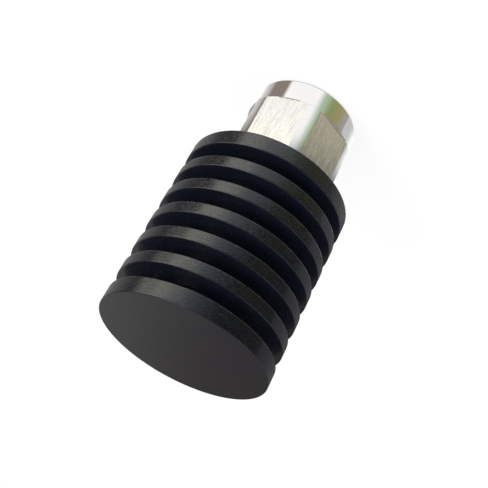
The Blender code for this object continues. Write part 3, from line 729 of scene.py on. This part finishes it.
# Coupling nut
# Turned from brass with a smooth round collar at the mouth, six flats milled behind it, a
# 5/8-24 thread inside, and nickel plated. The flats are brushed along the axis by hand.
ACROSS_FLATS = 0.0190
NUT_COLLAR_RADIUS = 0.0099
NUT_CORNER_RADIUS = 0.0104
NUT_COLLAR_LENGTH = 0.0049
NUT_CORNER_RISE = math.tan(math.radians(30))
NUT_BACK_Z = 0.0167
NUT_BACK_RADIUS = 0.0100
NUT_FRONT_BREAK = 0.0006
NUT_TURN = math.radians(-94.06)
RUN_OUT_RADIUS = 0.00025
LEDGE_BREAK = 0.00002
THREAD_PITCH = 0.0254 / 24
THREAD_MINOR_RADIUS = 0.00740
THREAD_MAJOR_RADIUS = 0.00795
THREAD_FLATNESS = 0.15
LEAD_IN_RADIUS = 0.00805
UNDERCUT_RADIUS = 0.0081
UNDERCUT_Z = 0.0110
LIP_Z = 0.0152
LIP_RADIUS = 0.0065
LIP_BREAK = 0.0003
LIP_ROUNDING = 0.00007
FLAT_SIDES = 6
FLAT_COLUMNS = 13
CORNER_COLUMNS = 8
EDGE_SOFTNESS = 0.00002
THREAD_ROWS = 150
THREAD_START_Z = 0.00001
LEAST_ROW_GAP = 0.000002
SAME_LEVEL = 0.000001
UNBRUSHED_STRIP = 0.00001
# The ledge's rows, in breaks above the collar's end, and how far each has gone over to the collar.
LEDGE_STEPS = np.array([0.9, 0.5, 0.25, 0.0, -0.25, -0.5, -0.9])
LEDGE_SHARES = np.array([0.0, 0.06, 0.18, 0.5, 0.88, 0.97, 1.0])


def nut_angles(crease):
    """Angles round the nut, row by row, with columns gathered at the creases.

    Half a side runs from the flat's middle to the crease as sin(90 t), and on to the corner as
    1 - cos(90 t), so both crowd their columns at the crease. It is mirrored and repeated.
    """
    crease = crease[:, None]
    flat_share = np.sin(math.pi / 2 * np.linspace(0, 1, FLAT_COLUMNS))
    corner_share = 1 - np.cos(math.pi / 2 * np.linspace(0, 1, CORNER_COLUMNS + 1)[1:])
    corner = crease + (math.pi / FLAT_SIDES - crease) * corner_share
    half = np.concatenate([crease * flat_share, corner], axis=1)
    side = np.concatenate([-half[:, :0:-1], half[:, :-1]], axis=1)
    middles = (np.arange(FLAT_SIDES) + 0.5) * math.tau / FLAT_SIDES
    return side, (middles[None, :, None] + side[:, None, :]).reshape(len(crease), -1)


corner_back_z = NUT_BACK_Z - (NUT_CORNER_RADIUS - NUT_BACK_RADIUS) * NUT_CORNER_RISE
corner_front_z = NUT_COLLAR_LENGTH + (NUT_CORNER_RADIUS - NUT_COLLAR_RADIUS) * NUT_CORNER_RISE
outer_turning = softened(
    [
        (LIP_RADIUS + LIP_BREAK, NUT_BACK_Z),
        (NUT_BACK_RADIUS, NUT_BACK_Z),
        (NUT_CORNER_RADIUS, corner_back_z),
        (NUT_CORNER_RADIUS, corner_front_z),
        (NUT_COLLAR_RADIUS, NUT_COLLAR_LENGTH),
        (NUT_COLLAR_RADIUS, NUT_FRONT_BREAK),
        (NUT_COLLAR_RADIUS - NUT_FRONT_BREAK, 0.0),
        (LEAD_IN_RADIUS, 0.0),
    ],
    np.array([0, 0.05, 0.12, 0.08, 0.02, 0.16, 0.10, 0]) * 0.001,
    closed=False,
)
# Rows between the creases of the turning, so that the flats' run-out and the ledge are followed.
run_out_z = NUT_COLLAR_LENGTH + RUN_OUT_RADIUS * np.array([0.18, 0.32, 0.5, 0.7, 0.9, 1.1])
ledge_z = NUT_COLLAR_LENGTH + LEDGE_BREAK * np.append(LEDGE_STEPS, [-2.0])
flat_z = np.linspace(0.0062, 0.0160, 9)
collar_z = [0.0012, 0.0024, 0.0036]
extra_z = np.concatenate([run_out_z, ledge_z, flat_z, collar_z])
wall = outer_turning[2:-3]
extra_r = np.interp(extra_z, wall[::-1, 1], wall[::-1, 0])
joined = np.concatenate([wall, np.stack([extra_r, extra_z], axis=1)])
joined = joined[np.argsort(-joined[:, 1], kind="stable")]
joined = joined[np.append(True, -np.diff(joined[:, 1]) > LEAST_ROW_GAP)]
outer_rows = np.concatenate([outer_turning[:2], joined, outer_turning[-3:]])

# The bore's rows run back from the mouth: thread, undercut, and the lip behind the snap ring.
thread_z = np.linspace(THREAD_START_Z, UNDERCUT_Z, THREAD_ROWS)
thread_rows = np.stack([np.full(THREAD_ROWS, THREAD_MINOR_RADIUS), thread_z], axis=1)
back_bore_rows = np.array(
    [
        (UNDERCUT_RADIUS, LIP_Z - 0.0001),
        (UNDERCUT_RADIUS, LIP_Z - 0.00003),
        (UNDERCUT_RADIUS - LIP_ROUNDING, LIP_Z),
        (LIP_RADIUS + LIP_ROUNDING, LIP_Z),
        (LIP_RADIUS, LIP_Z + LIP_ROUNDING),
        (LIP_RADIUS, LIP_Z + 0.0002),
        (LIP_RADIUS, NUT_BACK_Z - LIP_BREAK - 0.0001),
        (LIP_RADIUS, NUT_BACK_Z - LIP_BREAK),
        (LIP_RADIUS + LIP_BREAK * 0.9, NUT_BACK_Z - LIP_BREAK * 0.1),
    ]
)
nut_rows = np.concatenate([outer_rows, thread_rows, back_bore_rows])
outside = np.arange(len(nut_rows)) < len(outer_rows)
row_radius, row_z = nut_rows[:, 0], nut_rows[:, 1]

# A flat curves outwards just above the collar, as the milling cutter's edge is round there: by
# R - sqrt(R^2 - (R - h)^2) at the height h. Then it goes over to the collar in a level ledge.
short_of = np.clip(RUN_OUT_RADIUS - (row_z - NUT_COLLAR_LENGTH), 0.0, RUN_OUT_RADIUS)
run_out = RUN_OUT_RADIUS - np.sqrt(RUN_OUT_RADIUS**2 - short_of**2)
above_ledge = (row_z - NUT_COLLAR_LENGTH) / LEDGE_BREAK
ledge = np.interp(-above_ledge, -LEDGE_STEPS, LEDGE_SHARES)[:, None]
crease = np.arccos(np.clip(ACROSS_FLATS / 2 / np.maximum(row_radius, NUT_COLLAR_RADIUS), 0.0, 1.0))
crease = np.where(outside, crease, crease.min())
side_angle, nut_angle = nut_angles(crease)
# At the back face a flat ends as far inside its edge as the turned corner does, in a small break.
back_rows = outside & (row_z > NUT_BACK_Z - SAME_LEVEL) & (row_radius > ACROSS_FLATS / 2)
back_break = np.where(back_rows, NUT_BACK_RADIUS - row_radius, 0.0)
side_reach = ACROSS_FLATS / 2 / np.cos(side_angle) + (run_out - back_break)[:, None]
flat_limit = np.tile(side_reach, (1, FLAT_SIDES))
cut_radius = soft_least(row_radius[:, None], flat_limit, EDGE_SOFTNESS)
cut_radius = (1 - ledge) * cut_radius + ledge * row_radius[:, None]
nut_radius = np.where(outside[:, None], cut_radius, row_radius[:, None])

# The thread's radius is a flat-topped triangle wave of z / pitch - angle / 360, so it winds up
# to the right. The lead-in's cone and the undercut's slope cut into it at its two ends.
threaded = ~outside & (row_z <= UNDERCUT_Z)
phase = row_z[:, None] / THREAD_PITCH - nut_angle / math.tau
triangle = np.abs(2 * (phase % 1.0) - 1)
wave = np.clip((1 + 2 * THREAD_FLATNESS) * triangle - THREAD_FLATNESS, 0.0, 1.0)
thread_radius = THREAD_MINOR_RADIUS + (THREAD_MAJOR_RADIUS - THREAD_MINOR_RADIUS) * wave
thread_radius = np.maximum(thread_radius, LEAD_IN_RADIUS - row_z[:, None])
thread_radius = np.maximum(thread_radius, UNDERCUT_RADIUS - (UNDERCUT_Z - row_z[:, None]))
nut_radius = np.where(threaded[:, None], thread_radius, nut_radius)

nut_points = turned_points(nut_radius, row_z[:, None], nut_angle + NUT_TURN)
nut_columns = nut_points.shape[1]
nut_faces = grid_faces(len(nut_rows), nut_columns, True)
nut_mesh = mesh_from("hexagon_nut", nut_points.reshape(-1, 3), nut_faces)

polished_nickel = turned_nickel("polished_nickel", 0.07)

brushed_nickel, tree, shader = new_finish("brushed_nickel", Metallic=0.82)
fine_streaks = grain(tree, object_place(tree, (1.0, 1.0, 0.06)), 4600.0, 3.0, 0.6)
wide_streaks = grain(tree, object_place(tree, (1.0, 1.0, 0.10)), 2000.0, 3.0, 0.55)
fine_share, wide_share = 0.45, 0.55
streaks = work_out(
    tree,
    "ADD",
    spread(tree, fine_streaks, 0.0, fine_share),
    spread(tree, wide_streaks, 0.0, wide_share),
)
tint = mix_colour(tree, streaks, (0.86, 0.85, 0.81, 1.0), (0.69, 0.675, 0.62, 1.0))
tree.links.new(tint, shader.inputs["Base Color"])
set_roughness(tree, shader, wide_streaks, 0.08, 0.15)
first_bump = add_bump(tree, shader, wide_streaks, 0.8, 0.00007)
add_bump(tree, shader, fine_streaks, 0.8, 0.00004, first_bump)
nut_finishes = [polished_nickel, brushed_nickel]
add_piece("hexagon_nut", nut_mesh, "nut", "coupling_nut", nut_finishes)

# The flats between the collar's ledge and the back edge are brushed, and the rest is polished.
side_column = np.arange(nut_columns) % (nut_columns // FLAT_SIDES)
half_side = nut_columns // FLAT_SIDES // 2
on_flat_column = np.abs(side_column - half_side + 0.5) < FLAT_COLUMNS - 1
above_collar = row_z > NUT_COLLAR_LENGTH + LEDGE_BREAK
on_flat_row = outside & above_collar & (row_z < NUT_BACK_Z - UNBRUSHED_STRIP)
brushed = (on_flat_row[:, None] & on_flat_column[None, :]).ravel()
nut_mesh.polygons.foreach_set("material_index", brushed.astype(np.int32))


# Mating gasket
# A flat ring of red silicone that lies round the contact, in front of the shell's neck. The jack's
# rim presses on it and keeps water out.
GASKET_RADII = (0.0041, 0.0073)
GASKET_Z = (0.0113, 0.0128)
gasket_profile = softened(
    [
        (GASKET_RADII[1], GASKET_Z[1]),
        (GASKET_RADII[1], GASKET_Z[0]),
        (GASKET_RADII[0], GASKET_Z[0]),
        (GASKET_RADII[0], GASKET_Z[1]),
    ],
    0.00025,
    closed=True,
)
gasket_mesh = turned_piece("red_gasket", gasket_profile, BEAD_COLUMNS, closed=True)
silicone, tree, shader = new_finish("red_silicone", Specular_IOR_Level=0.4)
cloud = grain(tree, object_place(tree), 1300.0, 3.0)
set_tone(tree, shader, cloud, (0.44, 0.055, 0.035), (0.36, 0.040, 0.028))
set_roughness(tree, shader, cloud, 0.48, 0.66)
add_bump(tree, shader, grain(tree, object_place(tree), 5200.0), 0.25, 0.00001)
add_piece("red_gasket", gasket_mesh, "load_body", "mating_gasket", [silicone])


# Mouth O-ring
# A thin moulded ring of black rubber in the heatsink's counterbore. The shell's flange squeezes
# it, so that no water gets to the thread.
rubber, tree, shader = new_finish("black_rubber", Specular_IOR_Level=0.3)
cloud = grain(tree, object_place(tree), 1500.0, 3.0)
set_tone(tree, shader, cloud, (0.024, 0.024, 0.025), (0.014, 0.014, 0.014))
set_roughness(tree, shader, cloud, 0.5, 0.7)
add_bump(tree, shader, grain(tree, object_place(tree), 6000.0), 0.2, 0.000008)
finish_node("mouth_o_ring", rubber)


# Resistor carrier
# A copper disc screwed to the shank's rear face, with a half-round tongue that fills half of the
# bore and takes the resistor's heat to the fins. Its faces are milled.
copper, tree, shader = new_finish("milled_copper", Metallic=1.0)
cloud = grain(tree, object_place(tree), 300.0, 4.0)
set_tone(tree, shader, cloud, (0.90, 0.50, 0.36), (0.70, 0.34, 0.22))
set_roughness(tree, shader, cloud, 0.25, 0.42)
add_bump(tree, shader, grain(tree, object_place(tree, (0.08, 1.0, 1.0)), 7000.0), 0.3, 0.000005)
finish_node("resistor_carrier", copper)


# Power resistor
# A bought part: a tin-plated copper flange, a grey aluminium nitride chip with the film, a white
# alumina cover on it, and a silver-plated tab that is soldered to the pin's tail.
def fired_finish(name, pale_tone, dark_tone, roughness):
    """Fired ceramic: fine pores, and small changes of tone."""
    material, tree, shader = new_finish(name)
    pores = grain(tree, object_place(tree), 7000.0, 3.0)
    set_tone(tree, shader, pores, pale_tone, dark_tone)
    set_roughness(tree, shader, pores, roughness - 0.06, roughness + 0.06)
    add_bump(tree, shader, pores, 0.3, 0.000004)
    return material


def plated_finish(name, pale_tone, dark_tone, roughness):
    """Thin plating on a flat part: clouded tone and gloss, with faint rolling lines along z."""
    material, tree, shader = new_finish(name, Metallic=1.0)
    cloud = grain(tree, object_place(tree), 600.0, 4.0)
    set_tone(tree, shader, cloud, pale_tone, dark_tone)
    set_roughness(tree, shader, cloud, roughness - 0.06, roughness + 0.08)
    lines = grain(tree, object_place(tree, (1.0, 1.0, 0.06)), 9000.0)
    add_bump(tree, shader, lines, 0.3, 0.000003)
    return material


tin = plated_finish("tin_plate", (0.74, 0.71, 0.65), (0.60, 0.57, 0.51), 0.32)
nitride = fired_finish("nitride_ceramic", (0.52, 0.50, 0.46), (0.42, 0.41, 0.38), 0.55)
alumina = fired_finish("alumina_ceramic", (0.86, 0.85, 0.82), (0.78, 0.77, 0.73), 0.45)
silver = plated_finish("silver_plate", (0.88, 0.86, 0.82), (0.76, 0.74, 0.70), 0.24)
finish_node("resistor_flange", tin)
finish_node("resistor_chip", nitride)
finish_node("resistor_cover", alumina)
finish_node("resistor_tab", silver)


# Screws and washers
# Slotted cheese-head screws of stainless steel: two hold the carrier to the shank, and two with
# washers hold the resistor to the carrier.
stainless = plated_finish("stainless_steel", (0.60, 0.58, 0.55), (0.48, 0.47, 0.45), 0.30)
for number in (1, 2):
    for fastener in ("carrier_screw", "flange_screw", "flange_washer"):
        finish_node(f"{fastener}_{number}", stainless)


# Heatsink
# Turned from one aluminium bar, bead blasted and anodised black. The last of its seven round fins
# is the closed end disc, and its bore has a counterbore and a thread for the plug's shank.
HEATSINK_RADIUS = 0.0150
HEATSINK_CORE_RADIUS = 0.0095
HEATSINK_TOP_Z = 0.05265
HEATSINK_MOUTH_Z = 0.0186
FIN_COUNT = 7
FIN_THICKNESS = 0.00225
END_FIN_THICKNESS = 0.0030
GROOVE_WIDTH = 0.0028
FIN_BREAK = 0.00016
ROOT_FILLET = 0.00030
BORE_BREAK = 0.00008
RUBBED_AND_HIGHLIT_DEPTH = 0.9 * FIN_BREAK
TURNED_DEPTH = 0.2 * FIN_BREAK
COUNTERBORE = (0.0084, 0.0198)
THREAD_BORE = (0.00795, 0.0274)
PLAIN_BORE = (0.0075, 0.0433)
DISC_GREYNESS = 0.6
HEATSINK_COLUMNS = 288

thickness = np.full(FIN_COUNT, FIN_THICKNESS)
thickness[[0, -1]] = END_FIN_THICKNESS
fin_top = HEATSINK_TOP_Z - np.concatenate([[0], np.cumsum(thickness[:-1] + GROOVE_WIDTH)])
fin_bottom = fin_top - thickness
# Each fin goes out at its top and in again at its bottom, but the outermost corners at the core
# are left out: the disc's face runs on to the axis, and the last fin's face to the mouth.
fin_corners = np.array(
    [
        corner
        for top, bottom in zip(fin_top, fin_bottom)
        for corner in (
            (HEATSINK_CORE_RADIUS, top),
            (HEATSINK_RADIUS, top),
            (HEATSINK_RADIUS, bottom),
            (HEATSINK_CORE_RADIUS, bottom),
        )
    ]
)[1:-1]
mouth_corners = [
    (COUNTERBORE[0], HEATSINK_MOUTH_Z),
    COUNTERBORE,
    (THREAD_BORE[0], COUNTERBORE[1]),
    THREAD_BORE,
    (PLAIN_BORE[0], THREAD_BORE[1]),
    PLAIN_BORE,
]
heatsink_corners = np.concatenate(
    [[(0.0, HEATSINK_TOP_Z)], fin_corners, mouth_corners, [(0.0, PLAIN_BORE[1])]]
)
corner_breaks = np.full(len(heatsink_corners), BORE_BREAK)
corner_breaks[heatsink_corners[:, 0] == HEATSINK_CORE_RADIUS] = ROOT_FILLET
corner_breaks[heatsink_corners[:, 0] == HEATSINK_RADIUS] = FIN_BREAK
heatsink_profile = softened(heatsink_corners, corner_breaks, closed=False)
heatsink_mesh = turned_piece("finned_heatsink", heatsink_profile, HEATSINK_COLUMNS, closed=False)

# The broken fin edges are marked for the finish: there the black is rubbed a little, and the
# lighter edge is also a painted highlight line along the fins.
rows = heatsink_profile[1:-1]
edge = np.zeros(len(rows))
rim_rows = rows[:, 0] > HEATSINK_RADIUS - RUBBED_AND_HIGHLIT_DEPTH
nearest = np.abs(rows[:, 1:] - np.concatenate([fin_top, fin_bottom])[None]).min(axis=1)
edge[rim_rows] = np.clip(1.0 - nearest[rim_rows] / FIN_BREAK, 0.0, 1.0)
# The outer faces are less blue than the grooves: the grooves' bluer black is a painted shade tint,
# and the disc face takes most of the outer faces' black.
outer_face = np.where(rows[:, 1] > HEATSINK_TOP_Z - FIN_BREAK, DISC_GREYNESS, 0.0)
outer_face = np.where(rows[:, 0] > HEATSINK_RADIUS - FIN_BREAK, 1.0, outer_face)
turned_rim = np.where(rows[:, 0] > HEATSINK_RADIUS - TURNED_DEPTH, 1.0, 0.0)
for mark, values, at_poles in (
    ("rubbed_and_highlit_edge", edge, (0.0, 0.0)),
    ("outer_face", outer_face, (DISC_GREYNESS, 0.0)),
    ("turned_rim", turned_rim, (0.0, 0.0)),
):
    attribute = heatsink_mesh.attributes.new(mark, "FLOAT", "POINT")
    attribute.data.foreach_set(
        "value", np.append(np.repeat(values, HEATSINK_COLUMNS), at_poles).astype(np.float32)
    )


def mark_value(tree, name):
    """The value of the mesh's mark of that name."""
    mark = tree.nodes.new("ShaderNodeAttribute")
    mark.attribute_name = name
    return mark.outputs["Fac"]


anodise, tree, shader = new_finish("black_anodise", IOR=1.75)
cloud = grain(tree, object_place(tree), 130.0, 3.0)
cloud_share = spread(tree, cloud, 0.0, 1.0)
# The grooves' bluer, lighter black is painted shade tint between the fins; the outer faces keep the
# neutral black.
painted_groove_shade_black = mix_colour(
    tree, cloud_share, (0.0078, 0.0100, 0.0215, 1.0), (0.0105, 0.0122, 0.0225, 1.0)
)
face_black = mix_colour(
    tree, cloud_share, (0.0056, 0.0062, 0.0095, 1.0), (0.0080, 0.0080, 0.0100, 1.0)
)
black = mix_colour(tree, mark_value(tree, "outer_face"), painted_groove_shade_black, face_black)
blast = grain(tree, object_place(tree), 4300.0, 3.0, 0.6)
# Lighter black on the fin edges: partly rubbed wear, partly a painted highlight along the edge
# breaks.
rubbed_and_highlight_share = work_out(
    tree, "MULTIPLY", spread(tree, blast, 0.0, 0.5), mark_value(tree, "rubbed_and_highlit_edge")
)
tone = mix_colour(tree, rubbed_and_highlight_share, black, (0.030, 0.030, 0.032, 1.0))
tree.links.new(tone, shader.inputs["Base Color"])
rings = grain(tree, axis_distance(tree), 4200.0, 2.0)
first_bump = add_bump(tree, shader, rings, 0.2, 0.000004)
second_bump = add_bump(tree, shader, blast, 0.30, 0.000008, first_bump)
# The rims keep more of the lathe's marks under the blast: short dents along the turning.
on_rim = mark_value(tree, "turned_rim")
dents = grain(tree, object_place(tree, (1.0, 1.0, 2.6)), 2400.0, 1.0)
rim_dents = work_out(tree, "MULTIPLY", dents, on_rim)
add_bump(tree, shader, rim_dents, 0.6, 0.00003, second_bump)
blasted_roughness = spread(tree, blast, 0.08, 0.34, 0.2, 0.8)
turned_roughness = spread(tree, dents, 0.05, 0.34, 0.35, 0.65)
roughness = add_node(
    tree,
    "ShaderNodeMapRange",
    **{"Value": on_rim, "To Min": blasted_roughness, "To Max": turned_roughness},
)
tree.links.new(roughness.outputs[0], shader.inputs["Roughness"])
add_piece(
    "finned_heatsink", heatsink_mesh, "load_body", "heatsink", [anodise]
)
